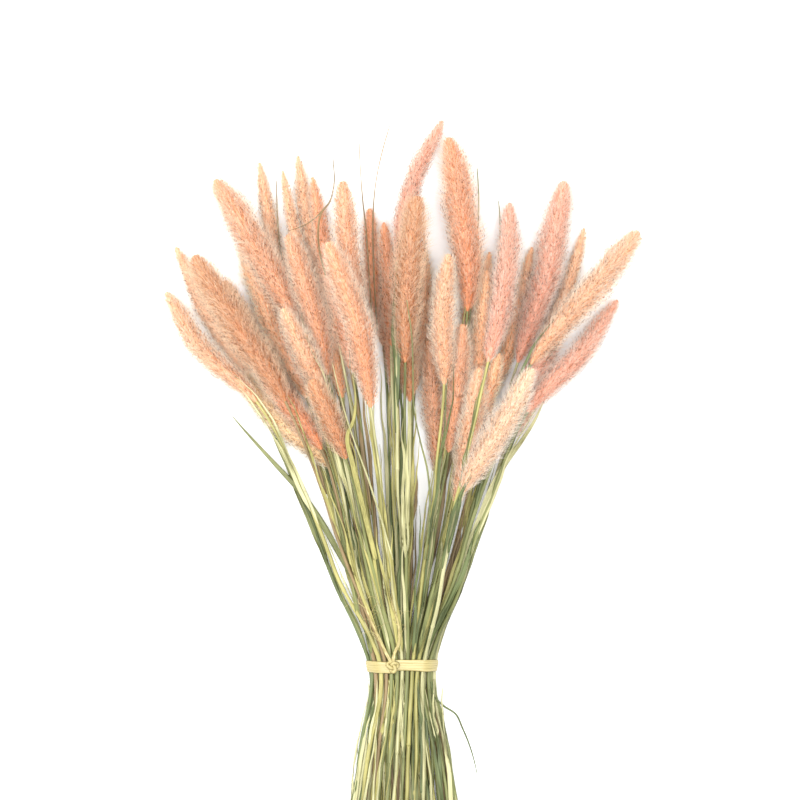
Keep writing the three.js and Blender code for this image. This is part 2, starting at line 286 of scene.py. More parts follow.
def closed_tube(points, u, v, finish):
    """A grid of points closed round each row, and over the first and last row by their middle."""
    rows, columns = points.shape[:2]
    i, j = np.meshgrid(np.arange(rows - 1), np.arange(columns), indexing="ij")
    i, j = i.ravel(), j.ravel()
    k = (j + 1) % columns
    a, b, c, d = i * columns + j, (i + 1) * columns + j, (i + 1) * columns + k, i * columns + k
    ua, ub, va, vb = u[i], u[i + 1], v[j], v[j + 1]
    ring = np.arange(columns)
    after = (ring + 1) % columns
    far = (rows - 1) * columns
    first, last = np.full(columns, rows * columns), np.full(columns, rows * columns + 1)
    middle = np.full(columns, v.mean())
    triangles = [
        np.stack([a, b, c], 1),
        np.stack([a, c, d], 1),
        np.stack([first, ring, after], 1),
        np.stack([last, far + after, far + ring], 1),
    ]
    atlas = [
        places((ua, va), (ub, va), (ub, vb)),
        places((ua, va), (ub, vb), (ua, vb)),
        places((u[0] + 0.004, middle), (u[0], v[:-1]), (u[0], v[1:])),
        places((u[-1] - 0.004, middle), (u[-1], v[1:]), (u[-1], v[:-1])),
    ]
    corners = np.concatenate([points.reshape(-1, 3), points[0].mean(0)[None], points[-1].mean(0)[None]])
    return corners, np.concatenate(triangles), np.concatenate(atlas), finish


def round_rod(centres, ways, radii, columns, place, finish, flat=1.0, dents=1.0):
    """A tube round a curve: each row is an ellipse square to it, `flat` times as high as wide."""
    right, over = sides(ways)
    turn = np.linspace(0, 2 * math.pi, columns, endpoint=False)
    r = radii[:, None] * dents
    grid = centres[:, None] + (r * np.cos(turn))[..., None] * right[:, None]
    grid = grid + (r * np.sin(turn))[..., None] * over[:, None] * flat
    u = np.linspace(place[0], place[1], len(centres))
    return closed_tube(grid, u, np.linspace(place[2], place[3], columns + 1), finish)


# across a blade, from its left edge over the top and back: share of the half-width, and which face
BLADE_ROW = np.array([-1, -0.5, 0, 0.5, 1, 0.5, 0, -0.5])
BLADE_SIDE = np.array([0, 1, 1, 1, 0, -1, -1, -1])


def strip(centres, ways, half, thickness, roll, fold, place, finish):
    """A closed thin strip along a curve, such as a leaf blade.

    Across it the height is the fold's slope times the distance from the midrib, with half the
    thickness above and below, and the whole row is rolled about the curve by an angle.
    """
    right, over = sides(ways)
    across = BLADE_ROW * half[:, None]
    rise = np.abs(across) * np.tan(fold)[:, None] + BLADE_SIDE * thickness / 2
    c, s = np.cos(roll)[:, None], np.sin(roll)[:, None]
    x, z = across * c - rise * s, across * s + rise * c
    # the row runs along the underside's edge first, so that its faces point outwards
    grid = centres[:, None] + x[..., None] * right[:, None] + z[..., None] * over[:, None]
    u = np.linspace(place[0], place[1], len(centres))
    return closed_tube(grid[:, ::-1], u, np.linspace(place[2], place[3], len(BLADE_ROW) + 1), finish)


def bristles(rings, tips, across, radius, band, along, finish):
    """Thin three-sided spikes: a triangle at the root, a smaller one at any bend, and a point."""
    count, bends = len(tips), len(rings) - 1
    way = tips - rings[0]
    way /= np.linalg.norm(way, axis=1)[:, None]
    across = across - way * (across * way).sum(1)[:, None]
    across /= np.linalg.norm(across, axis=1)[:, None]
    beside = np.cross(way, across)
    corner = np.array([0, 2, 4]) * math.pi / 3
    spoke = across[:, None] * np.cos(corner)[:, None] + beside[:, None] * np.sin(corner)[:, None]
    spoke = spoke * radius[:, None, None]
    girths = [ring[:, None] + spoke * (1 - 0.25 * k) for k, ring in enumerate(rings)]
    points = np.concatenate(girths + [tips[:, None]], 1)
    top = 3 * bends
    shape = [[0, 2, 1]]
    for k in range(3):
        j = (k + 1) % 3
        shape += [[k, j, 3 + j], [k, 3 + j, 3 + k]] * bends + [[top + 3, top + k, top + j]]
    shape = np.array(shape)
    triangles = (np.arange(count)[:, None, None] * (top + 4) + shape).reshape(-1, 3)
    u = np.array([0.0, 0.03, 0.0] + [0.5, 0.53, 0.5] * bends + [1.0]) * 0.97 + 0.015
    v = np.array([0.0, 0.5, 1.0] * (bends + 1) + [0.5])
    low, high = band
    start = low + (high - low) * (0.01 + 0.97 * along)
    place = np.stack([np.broadcast_to(u, (count, len(u))), start[:, None] + 0.0022 * v], 2)
    return points.reshape(-1, 3), triangles, place[:, shape].reshape(-1, 3, 2), finish


def husks(middles, ways, across, long, wide, band, along, finish):
    """Small pointed grains in their husks: a belly of four corners between a foot and a sharp tip."""
    count = len(middles)
    beside = np.cross(ways, across)
    corner = np.arange(4) * math.pi / 2
    spoke = across[:, None] * np.cos(corner)[:, None] + beside[:, None] * np.sin(corner)[:, None] * 0.8
    belly = (middles - ways * long[:, None] * 0.08)[:, None] + spoke * wide[:, None, None] / 2
    foot = middles - ways * long[:, None] * 0.45
    tip = middles + ways * long[:, None] * 0.55
    points = np.concatenate([belly, foot[:, None], tip[:, None]], 1)
    shape = np.array([[4, (k + 1) % 4, k] for k in range(4)] + [[5, k, (k + 1) % 4] for k in range(4)])
    triangles = (np.arange(count)[:, None, None] * 6 + shape).reshape(-1, 3)
    u = np.array([0.45, 0.5, 0.45, 0.5, 0.02, 0.98])
    v = np.array([0.0, 0.35, 0.65, 1.0, 0.5, 0.5])
    low, high = band
    start = low + (high - low) * (0.01 + 0.95 * along) - 0.001
    place = np.stack([np.broadcast_to(u, (count, 6)), start[:, None] + 0.003 * v], 2)
    return points.reshape(-1, 3), triangles, place[:, shape].reshape(-1, 3, 2), finish


def make_piece(name, parts, finishes, node):
    """One mesh object from closed surfaces, which stands for its CAD node and rides on the root."""
    counts = [len(points) for points, _, _, _ in parts]
    starts = np.concatenate([[0], np.cumsum(counts)[:-1]])
    points = np.concatenate([p for p, _, _, _ in parts]).astype(np.float32)
    triangles = np.concatenate([t + start for (_, t, _, _), start in zip(parts, starts)])
    triangles = triangles.astype(np.int32)
    atlas = np.concatenate([uv for _, _, uv, _ in parts]).astype(np.float32)
    numbers = np.concatenate([np.full(len(t), finish) for _, t, _, finish in parts]).astype(np.int32)
    mesh = bpy.data.meshes.new(name)
    mesh.vertices.add(len(points))
    mesh.vertices.foreach_set("co", points.ravel())
    mesh.loops.add(triangles.size)
    mesh.loops.foreach_set("vertex_index", triangles.ravel())
    mesh.polygons.add(len(triangles))
    mesh.polygons.foreach_set("loop_start", np.arange(0, triangles.size, 3, dtype=np.int32))
    mesh.polygons.foreach_set("material_index", numbers)
    mesh.polygons.foreach_set("use_smooth", np.ones(len(triangles), bool))
    mesh.uv_layers.new(name=ATLAS).data.foreach_set("uv", atlas.ravel())
    for finish in finishes:
        mesh.materials.append(finish)
    mesh.update(calc_edges=True)
    piece = bpy.data.objects.new(name, mesh)
    bpy.context.scene.collection.objects.link(piece)
    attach(piece, "root")
    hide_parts(node)
    return piece


# ---- Materials -----------------------------------------------------------------------------------

# where each kind of surface lies in a stalk's atlas: (u from, to, v from, to), or the v alone
CULM_PLACE = (0.003, 0.997, 0.004, 0.196)
SHEATH_PLACES = [(k / 6 + 0.004, (k + 1) / 6 - 0.004, 0.203, 0.297) for k in range(6)]
HUSK_BAND = (0.304, 0.42)
SEED_BAND = (0.428, 0.446)
BRISTLE_BAND = (0.454, 0.996)


def add_node(tree, kind, inputs=None, **settings):
    """Adds a node with its settings. An input given a socket is linked, and a value is set."""
    made = tree.nodes.new("ShaderNode" + kind)
    for key, value in settings.items():
        setattr(made, key, value)
    for key, value in (inputs or {}).items():
        if isinstance(value, bpy.types.NodeSocket):
            tree.links.new(value, made.inputs[key])
        else:
            made.inputs[key].default_value = value
    return made


def new_finish(name, values):
    """A material with a Principled surface, and its uniform values set on the surface's own sockets."""
    finish = bpy.data.materials.new(name)
    finish.use_nodes = True
    skin = finish.node_tree.nodes["Principled BSDF"]
    for key, value in values.items():
        skin.inputs[key].default_value = value
    return finish, finish.node_tree, skin


def ramp(tree, value, start, end, low=0.0, high=1.0):
    """An output that goes from low to high as the value goes from start to end, and then stays."""
    limits = {"From Min": start, "From Max": end, "To Min": low, "To Max": high}
    return add_node(tree, "MapRange", {"Value": value, **limits}).outputs[0]


def blend(tree, factor, a, b):
    """An output that goes from colour a to colour b as the factor goes from 0 to 1."""
    mix = add_node(tree, "Mix", {"Factor": factor, "A": a, "B": b}, data_type="RGBA")
    return mix.outputs["Result"]


def atlas_axes(tree):
    """The atlas place as two outputs: u, along a bristle or husk, and v, along the head."""
    place = add_node(tree, "UVMap", uv_map=ATLAS).outputs["UV"]
    axes = add_node(tree, "SeparateXYZ", {"Vector": place})
    return axes.outputs["X"], axes.outputs["Y"]


def fibre_noise(tree, lengths, fibres):
    """Noise drawn out into fibres: so many lengths of them along the atlas, and so many over it."""
    place = add_node(tree, "UVMap", uv_map=ATLAS).outputs["UV"]
    grain = add_node(tree, "Mapping", {"Vector": place, "Scale": (lengths, fibres, 1.0)})
    noise = {"Vector": grain.outputs[0], "Scale": 1.0, "Detail": 3.0}
    return add_node(tree, "TexNoise", noise).outputs[0]


def dyed_bristle(lot):
    """Foxtail bristle, a horny hair dyed in a warm bath: strongest at the root, pale at the tip. The
    pale tip is partly painted light, for light that shines through the thin tips.
    """
    shell, body, tip = DYES[lot]
    looks = {"Roughness": 0.5, "Sheen Weight": 0.15}
    finish, tree, skin = new_finish("Dyed bristle, " + lot, looks)
    u, v = atlas_axes(tree)
    # Bristles of one tuft, about 1.5 mm of the head, took the dye alike: 0.54 of the atlas is a
    # 110 mm head. Towards the foot of the head the colour is a little deeper.
    noise = {"W": v, "Scale": 135.0, "Detail": 2.0}
    tuft = add_node(tree, "TexNoise", noise, noise_dimensions="1D").outputs[0]
    strength = ramp(tree, tuft, 0.3, 0.7, -0.25, 0.25)
    reach = add_node(tree, "Math", {0: u, 1: strength}, operation="ADD").outputs[0]
    # the blend from root to tip is partly the dye thinning out and partly painted light, a glow for
    # light that shines through the translucent tips
    tint = blend(tree, ramp(tree, reach, 0.05, 0.47), linear(body), linear(tip))
    low, high = BRISTLE_BAND
    foot = ramp(tree, v, low, (low + high) / 2, 0.2, 0.0)
    tree.links.new(blend(tree, foot, tint, linear(shell)), skin.inputs["Base Color"])
    return finish


def dyed_husk(lot):
    """Foxtail husk, a hard shell under the bristles: full dye, browner where it opened over a seed."""
    shell, body, _ = DYES[lot]
    finish, tree, skin = new_finish("Dyed husk, " + lot, {"Roughness": 0.5})
    u, v = atlas_axes(tree)
    # Each husk takes its own shade, new about every 2.3 mm: 0.116 of the atlas is a 110 mm head.
    noise = {"W": v, "Scale": 420.0, "Detail": 1.0}
    shade = add_node(tree, "TexNoise", noise, noise_dimensions="1D").outputs[0]
    open_husk = ramp(tree, shade, 0.52, 0.66)
    end = ramp(tree, u, 0.3, 0.8)
    brown = add_node(tree, "Math", {0: open_husk, 1: end}, operation="MULTIPLY").outputs[0]
    up_head = ramp(tree, v, *HUSK_BAND, -0.2, 0.45)
    pale = ramp(tree, shade, 0.6, 0.3)
    paler = add_node(tree, "Math", {0: pale, 1: up_head}, operation="ADD", use_clamp=True)
    tint = blend(tree, paler.outputs[0], linear(shell), linear(body))
    tree.links.new(blend(tree, brown, tint, linear("#a9673f")), skin.inputs["Base Color"])
    return finish


def ripe_seed(lot):
    """Ripe foxtail seed in an open husk: a hard glossy coat, brown, with a little of the dye in it."""
    finish, tree, skin = new_finish("Ripe seed coat, " + lot, {"Roughness": 0.4})
    _, v = atlas_axes(tree)
    # Each seed ripened by itself, so the shade changes faster along the head than seeds lie apart.
    noise = {"W": v, "Scale": 900.0}
    shade = add_node(tree, "TexNoise", noise, noise_dimensions="1D").outputs[0]
    coat = blend(tree, ramp(tree, shade, 0.35, 0.65), linear("#8e4d25"), linear("#4e2812"))
    tree.links.new(blend(tree, 0.12, coat, linear(DYES[lot][0])), skin.inputs["Base Color"])
    return finish


def dried_grass(kind, stem, fibres):
    """Grass, dried in the air: waxy, with fine fibres, sun-bleached patches and small brown spots."""
    pale, dark = STEMS[stem]
    finish, tree, skin = new_finish(f"Air-dried {kind}, {stem}", {"Roughness": 0.55})
    # Fibres are 0.3 mm apart and run on for 20 mm: `fibres` of them fill the atlas's height.
    fibre = fibre_noise(tree, 30.0, fibres)
    spot_place = add_node(tree, "TexCoord").outputs["Object"]
    # Bleached patches are about 35 mm across, and the brown spots of mould about 4 mm.
    noise = {"Vector": spot_place, "Scale": 1 / 0.035, "Detail": 2.0}
    patch = add_node(tree, "TexNoise", noise).outputs[0]
    noise = {"Vector": spot_place, "Scale": 1 / 0.004, "Detail": 1.0}
    spot = add_node(tree, "TexNoise", noise).outputs[0]
    streak = ramp(tree, fibre, 0.36, 0.62)
    bleach = ramp(tree, patch, 0.38, 0.62, 0.25, 0.95)
    weather = {0: streak, 1: bleach, 2: 0.05}
    weathered = add_node(tree, "Math", weather, operation="MULTIPLY_ADD").outputs[0]
    tint = blend(tree, weathered, linear(pale), linear(dark))
    spotted = blend(tree, ramp(tree, spot, 0.7, 0.8, 0.0, 0.4), tint, linear("#6b5534"))
    ribs = add_node(tree, "Bump", {"Height": fibre, "Strength": 0.5, "Distance": 0.12 * MM})
    tree.links.new(spotted, skin.inputs["Base Color"])
    tree.links.new(ribs.outputs[0], skin.inputs["Normal"])
    return finish


def split_raffia(pale):
    """Raffia, the skin of a palm leaf split into strips and dried: satin, with long darker fibres."""
    finish, tree, skin = new_finish("Split raffia", {"Roughness": 0.42})
    # Fibres are about 0.2 mm apart round a strand 2.9 mm wide.
    fibre = fibre_noise(tree, 14.0, 110.0)
    tint = blend(tree, ramp(tree, fibre, 0.36, 0.62), pale, linear("#968750"))
    ribs = add_node(tree, "Bump", {"Height": fibre, "Strength": 0.6, "Distance": 0.15 * MM})
    tree.links.new(tint, skin.inputs["Base Color"])
    tree.links.new(ribs.outputs[0], skin.inputs["Normal"])
    return finish


# ---- Foxtails ------------------------------------------------------------------------------------


def head_swell(u, point):
    """A head's half-width along it, 1 at the fullest: a power of the way from the neck times one
    from the tip.

    The tip's power is low on a blunt head and higher on a pointed one.
    """
    fullest = 0.5 / (0.5 + point)
    u = np.clip(u, 1e-4, 1 - 1e-4)
    return (u / fullest) ** 0.5 * ((1 - u) / (1 - fullest)) ** point


def culm_parts(centres, radii, settings, rng):
    """The culm from its cut end to inside the head: a hollow end, swollen joints and sheaths."""
    s = distances(centres)
    neck = s[NECK_RING]
    into_head = neck + 12 * MM
    rows = np.concatenate([np.arange(0, into_head, 6 * MM), [into_head]])
    joints = np.array([rng.uniform(0.12, 0.2), rng.uniform(0.4, 0.5), rng.uniform(0.66, 0.74)]) * neck
    near_joint = np.array([-1.6, -0.8, 0, 0.8, 1.6]) * MM
    rows = np.sort(np.concatenate([rows] + [joint + near_joint for joint in joints]))
    points, ways = follow(centres, rows)
    right, _ = sides(ways)
    # the wandering dies out at the cut end, in the tie and at the neck
    tied = s[TIE_RING]
    below, above = np.clip(rows / tied, 0, 1), np.clip((rows - tied) / (neck - tied), 0, 1)
    held = np.sin(math.pi * below) + np.sin(math.pi * above)
    points = points + right * (wander(rng, rows, 0.11) * held * settings.waviness)[:, None]
    radius = np.interp(rows, s, radii)
    radius = np.where(rows > neck, np.interp(neck, s, radii), radius)
    for joint, sheath in zip(joints, (90 * MM, 110 * MM, 60 * MM)):
        radius = radius + 0.3 * MM * np.exp(-(((rows - joint) / (1.1 * MM)) ** 2))
        radius = radius + 0.22 * MM * ((rows > joint) & (rows < joint + sheath))
    # the cut end is an open straw: the wall is turned in and the bore goes 4 mm deep
    bore = radius[0] * np.array([0.35, 0.5, 0.55, 0.95])
    depth = np.array([4.0, 3.8, 0.3, 0.0]) * MM
    points = np.concatenate([points[0] + ways[0] * depth[:, None], points])
    ways = np.concatenate([np.repeat(ways[:1], 4, 0), ways])
    radius = np.concatenate([bore, radius])
    turn = np.linspace(0, 2 * math.pi, 9, endpoint=False)
    dents = 1 + 0.08 * np.sin(2 * turn + rng.uniform(0, 6))
    dents = dents + 0.05 * np.sin(3 * turn + rng.uniform(0, 6))
    culm = round_rod(points, ways, radius * 0.92, 9, CULM_PLACE, 0, flat=0.92, dents=dents)
    return culm, joints


def sheath_blades(centres, joints, settings, rng):
    """Dried blades that leave the culm above its joints and run along it, rolled and tapering.

    They stay clear of the tie: one that starts below it ends below it.
    """
    s = distances(centres)
    tied = s[TIE_RING]
    parts = []
    beyond = rng.uniform([10, 30, 0, 15, 5, 20], [50, 80, 30, 60, 45, 75]) * MM
    starts = joints[[0, 0, 1, 1, 2, 2]] + beyond
    for place, start in zip(SHEATH_PLACES, starts):
        size = settings.blade_length * rng.uniform(0.55, 1.3)
        if start < tied - 40 * MM:
            size = min(size, tied - CLEAR_OF_TIE - start)
        else:
            start = max(start, tied + CLEAR_OF_TIE)
        t = np.linspace(0, 1, 26)
        points, ways = follow(centres, start + t * size)
        right, over = sides(ways)
        side = rng.choice([-1, 1])
        drift = rng.uniform(0.0, 0.05) * t + rng.uniform(-0.03, 0.03) * t**2
        spread = side * (size * drift + 0.7 * MM)
        spread = spread + wander(rng, t * size, 0.06) * 1.3 * MM * t
        lift = 0.8 * MM + t * rng.uniform(-1.5, 3.5) * MM + wander(rng, t * size, 0.05) * 1.0 * MM * t
        points = points + right * spread[:, None] + over * lift[:, None]
        ways = np.gradient(points, axis=0)
        ways /= np.linalg.norm(ways, axis=1)[:, None]
        width = settings.blade_width * rng.uniform(0.5, 1.35) / 2
        foot = 0.15 + 0.85 * np.minimum(1, t / 0.08)
        half = width * np.minimum(1, (1 - t) / 0.55) ** 0.8 * foot + 0.1 * MM
        tilt, turns_over, turn_at = rng.uniform(-0.8, 0.8), rng.choice([0, 0, 1]), rng.uniform(0.3, 0.6)
        roll = tilt + turns_over * math.pi * np.clip((t - turn_at) * 4, 0, 1)
        roll = roll + 0.6 * wander(rng, t, 0.6)
        fold = np.full(len(t), rng.uniform(0.2, 0.9))
        parts.append(strip(over_floor(points), ways, half, settings.thickness, roll, fold, place, 4))
    return parts


def head_parts(centres, radii, settings, rng):
    """One bristly head on the end of its culm: a core, husks over it, and bristles from under them.

    Husks and bristles sit at equal steps of the golden angle, nearer together where the head is
    wide. A bristle leaves its root outwards and bends forwards, and its tip lies near the head's
    outer surface.
    """
    s = distances(centres)
    neck, tip = s[NECK_RING], s[-1]
    long = tip - neck
    wide = 1.04 * radii[NECK_RING:].max() / CORE_SHARE
    point = np.interp(wide, [13 * MM, 24 * MM], [0.55, 0.34]) + rng.uniform(-0.08, 0.1)
    lump = rng.uniform(0, 2 * math.pi, 3)

    def half_width(u, angle):
        lumps = 0.07 * np.sin(2 * math.pi * 2.3 * u + lump[0] + angle)
        lumps = lumps + 0.05 * np.sin(2 * math.pi * 5.1 * u + lump[1] - 2 * angle)
        lumps = lumps + 0.07 * np.sin(angle + lump[2])
        return wide / 2 * head_swell(u, point) * (1 + lumps)

    def spread(count):
        """Places over the head, as many for each millimetre as it is wide there."""
        u = np.linspace(0, 1, 400)
        filled = np.concatenate([[0], np.cumsum(head_swell(u, point))[:-1]])
        place = np.interp((np.arange(count) + 0.5) / count * filled[-1], filled, u)
        angle = np.arange(count) * GOLDEN_ANGLE + rng.normal(0, 0.25, count)
        return np.clip(place + rng.normal(0, 0.006, count), 0, 1), angle

    def at(u, angle):
        points, ways = follow(centres, neck + u * long)
        right, over = sides(ways)
        outward = right * np.cos(angle)[:, None] + over * np.sin(angle)[:, None]
        return points, ways, outward, np.cross(ways, outward)

    def lean(ways, outward, around, low, high, sway):
        """Unit directions up the head, tilted outwards by low to high, and swayed to the side."""
        out = rng.uniform(low, high, len(ways))[:, None]
        aim = ways + outward * out + around * rng.normal(0, sway, len(ways))[:, None]
        return aim / np.linalg.norm(aim, axis=1)[:, None]

    def coat(share, low, high, bent):
        """Bristles whose tips reach from `low` to `high` of the head's half-width."""
        count = int(share * long * wide / MM**2)
        u, angle = spread(count)
        u = u * 0.97
        points, _, outward, around = at(u, angle)
        size = settings.bristle_length * rng.uniform(0.6, 1.3, count) * (0.7 + 0.3 * wide / (20 * MM))
        root = half_width(u, angle) * rng.uniform(0.45, 0.6, count)
        advance = size * rng.uniform(0.55, 0.9, count) * (1 - 0.15 * u**3)
        ahead = u + advance / long
        reach = np.maximum(half_width(ahead / 1.05, angle), 0.16 * wide)
        reach = reach * rng.uniform(low, high, count) + 0.4 * MM
        tips, _, _, _ = at(ahead, angle)
        _, _, tip_out, _ = at(np.minimum(ahead, 1), angle + rng.normal(0, 0.16, count))
        rings = [over_floor(points + outward * root[:, None])]
        if bent:
            bends, _, bend_out, _ = at(u + 0.45 * advance / long, angle)
            rings.append(over_floor(bends + bend_out * (root + (reach - root) * 0.62)[:, None]))
        hair = settings.bristle_width / 2 * rng.uniform(0.7, 1.3, count)
        along = np.clip(0.88 * u / 0.97 + 0.12 * rng.uniform(0, 1, count), 0, 1)
        tips = over_floor(tips + tip_out * reach[:, None])
        return bristles(rings, tips, around, hair, BRISTLE_BAND, along, 2)

    u = np.linspace(0, 0.985, 40)
    points, ways = follow(centres, neck + u * long)
    girth = np.maximum(wide / 2 * head_swell(u, point) * 0.45, 0.8 * MM)
    core = round_rod(points, ways, girth, 12, (0.003, 0.997, *HUSK_BAND), 1)

    count = int(settings.husks * long * wide / MM**2)
    u, angle = spread(count)
    u = 0.015 + 0.965 * u
    points, ways, outward, around = at(u, angle)
    depth = half_width(u, angle) * rng.uniform(0.46, 0.7, count)
    seat = over_floor(points + outward * depth[:, None])
    size = settings.husk_length * rng.uniform(0.7, 1.2, count)
    along = np.clip(0.9 * u + 0.1 * rng.uniform(0, 1, count), 0, 1)
    aim = lean(ways, outward, around, 0.2, 0.8, 0.35)
    grains = husks(seat, aim, around, size, size * 0.5, HUSK_BAND, along, 1)

    # ripe seeds and brown awns show in clusters, mostly over the middle of the head
    def scattered(share, low, high):
        count = int(share * long * wide / MM**2)
        angle = rng.uniform(0, 2 * math.pi, count)
        u = 0.03 + 0.9 * rng.beta(1.8, 2.2, count)
        points, ways, outward, around = at(u, angle)
        seat = half_width(u, angle) * rng.uniform(low, high, count)
        return u, over_floor(points + outward * seat[:, None]), ways, outward, around

    u, seat, ways, outward, around = scattered(settings.seeds, 0.7, 0.88)
    size = settings.husk_length * rng.uniform(0.5, 0.85, len(u))
    aim = lean(ways, outward, around, -0.2, 0.8, 0.5)
    ripe = husks(seat, aim, around, size, size * 0.42, SEED_BAND, u, 3)
    u, seat, ways, outward, around = scattered(settings.awns, 0.74, 0.98)
    aim = lean(ways, outward, around, -0.1, 0.25, 0.6)
    aim = aim * (rng.uniform(1.2, 2.8, len(u)) * MM)[:, None]
    thin = rng.uniform(0.09, 0.17, len(u)) * MM
    awns = bristles([seat], over_floor(seat + aim), around, thin, SEED_BAND, u, 3)
    bent = coat(settings.bent, 0.82, 1.3, True)
    straight = coat(settings.straight, 0.72, 1.45, False)
    return [core, grains, bent, straight, ripe, awns]


def stems_of(course, neck_x, rng):
    """Which straw a stalk and its blades have: pale on the left, greener towards the right."""
    share = [0.42, 0.25, 0.18, 0.05, 0.1]
    if neck_x > -15 * MM:
        share = [0.3, 0.2, 0.25, 0.13, 0.12]
    if neck_x > 35 * MM:
        share = [0.3, 0.17, 0.25, 0.25, 0.03]
    # stalks of the bottom course lie under the others and show only in the gaps: they mostly take the
    # darker straws, painted shade on top of the straws' own colours
    if course == "bottom":
        share = [0.08, 0.17, 0.33, 0.2, 0.22]
    return rng.choice(list(STEMS), 2, replace=False, p=share)


class BUNDLE_OT_grow_foxtails(Operator):
    """Grow the foxtail stalks: culm, joints, sheaths, blades and bristly head"""

    bl_idname = "bundle.grow_foxtails"
    bl_label = "Grow Foxtails"

    def execute(self, context):
        foxtail, leaf = context.scene.foxtail, context.scene.leaf
        dyed = {lot: (dyed_husk(lot), dyed_bristle(lot), ripe_seed(lot)) for lot in DYES}
        straw = {stem: dried_grass("straw", stem, STRAW_FIBRES) for stem in STEMS}
        for level, (course, lots) in enumerate(LOTS.items()):
            for number, lot in enumerate(lots.split(), 1):
                rng = np.random.default_rng(100 * level + number)
                node = f"foxtail_{course}_{number:02d}"
                centres, radii = rod(node)
                if centres[0, 1] > centres[-1, 1]:
                    centres, radii = centres[::-1], radii[::-1]
                culm, joints = culm_parts(centres, radii, foxtail, rng)
                parts = [culm]
                parts += sheath_blades(centres, joints, leaf, rng)
                parts += head_parts(centres, radii, foxtail, rng)
                stem, blade = stems_of(course, centres[NECK_RING, 0], rng)
                finishes = [straw[stem], *dyed[lot], straw[blade]]
                make_piece(f"stalk_{course}_{number:02d}", parts, finishes, node)
        return {"FINISHED"}


class BUNDLE_OT_lay_leaves(Operator):
    """Lay the loose leaf blades between the stalks"""

    bl_idname = "bundle.lay_leaves"
    bl_label = "Lay Leaves"

    def execute(self, context):
        settings = context.scene.leaf
        straw = {stem: dried_grass("leaf", stem, LEAF_FIBRES) for stem in STEMS}
        waist = tie_middle()
        names = sorted(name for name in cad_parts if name.startswith("leaf_"))
        for number, node in enumerate(names):
            rng = np.random.default_rng(1000 + number)
            centres, radii = rod(node)
            ends = np.linalg.norm(centres[[0, -1], :2] - waist, axis=1)
            if ends[0] > ends[1]:
                centres, radii = centres[::-1], radii[::-1]
            s = distances(centres)
            t = np.linspace(0, 1, max(40, int(s[-1] / (2.5 * MM))))
            points, ways = follow(centres, t * s[-1])
            half = np.interp(t * s[-1], s, radii)
            thin = radii.max() < WISP
            half = half * (1 - t) ** 0.35 * (0.26 if thin else 0.85) + (0.24 if thin else 0.12) * MM
            roll = 0.5 * wander(rng, t, 0.8) + rng.uniform(-0.4, 0.4)
            fold = 0.35 + 0.25 * wander(rng, t, 0.7)
            place = (0.003, 0.997, 0.01, 0.85)
            parts = [strip(over_floor(points), ways, half, settings.thickness, roll, fold, place, 0)]
            if node == "leaf_curled":
                parts.append(self.folded_end(follow(centres, s[3:4] + 6 * MM)[0][0], settings))
            finishes = [straw[LEAF_STEMS.get(node, "straw")]]
            make_piece(node.replace("leaf_", "blade_"), parts, finishes, node)
        return {"FINISHED"}

    def folded_end(self, kink, settings):
        """The end of the curled blade, folded back from its kink: a thin strip that sags a little."""
        t = np.linspace(0, 1, 24)[:, None]
        along, sag = np.array([-24, -15, 1.0]), np.array([1.5, -2.0, -1.0])
        points = kink + t * along * MM + np.sin(math.pi * t) * sag * MM
        ways = np.gradient(points, axis=0)
        ways /= np.linalg.norm(ways, axis=1)[:, None]
        t = t[:, 0]
        place = (0.003, 0.997, 0.87, 0.99)
        half, fold = (0.6 - 0.4 * t) * MM, np.full(len(t), 0.5)
        return strip(points, ways, half, settings.thickness, 0.8 * t, fold, place, 0)


# ---- Raffia tie ----------------------------------------------------------------------------------


def heap_rods():
    """Every stalk and leaf as points 2 mm apart on its middle line, with its half-width there."""
    points, radii = [], []
    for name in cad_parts:
        if name == "raffia_tie":
            continue
        centres, r = rod(name)
        s = distances(centres)
        at = np.arange(0, s[-1], 2 * MM)
        points.append(follow(centres, at)[0])
        radii.append(np.interp(at, s, r if name.startswith("foxtail_") else np.full(len(r), 0.35 * MM)))
    return np.concatenate(points), np.concatenate(radii)


def smoothed(values, count):
    """The running mean of so many values, an odd number, with the end values carried on."""
    return np.convolve(np.pad(values, count // 2, "edge"), np.ones(count) / count, "valid")


def heap_top(plan, points, radii):
    """Height of the heap under points in plan: the top of the highest rod that reaches under each."""
    gap = np.linalg.norm(plan[:, None, :2] - points[None, :, :2], axis=2)
    reach = radii[None] + BALL
    top = points[None, :, 2] + np.sqrt(np.maximum(reach**2 - gap**2, 0)) - BALL
    return np.where(gap < reach, top, 0).max(1)


def waist_outline(y, out, points, radii, start_x):
    """The band's line round the culms at y, as even steps of (x, z) that start on top at start_x.

    In each direction it runs over the outermost circle, pushed out.
    """
    near = np.abs(points[:, 1] - y) < 2.2 * MM
    centre, r = points[near][:, [0, 2]], radii[near]
    turn = np.linspace(0, 2 * math.pi, 721)
    way = np.stack([np.cos(turn), np.sin(turn)], 1)
    best = (centre @ way.T + r[:, None]).argmax(0)
    line = centre[best] + way * (r[best] + out)[:, None]
    line[:, 1] = np.maximum(line[:, 1], out + FLOOR_GAP)
    step = distances(line)
    even = np.linspace(0, step[-1], 301)[:-1]
    line = np.stack([np.interp(even, step, line[:, 0]), np.interp(even, step, line[:, 1])], 1)
    under = line[:, 1] < line[:, 1].mean()
    return np.roll(line, -int(np.argmin(np.abs(line[:, 0] - start_x) + under)), axis=0)


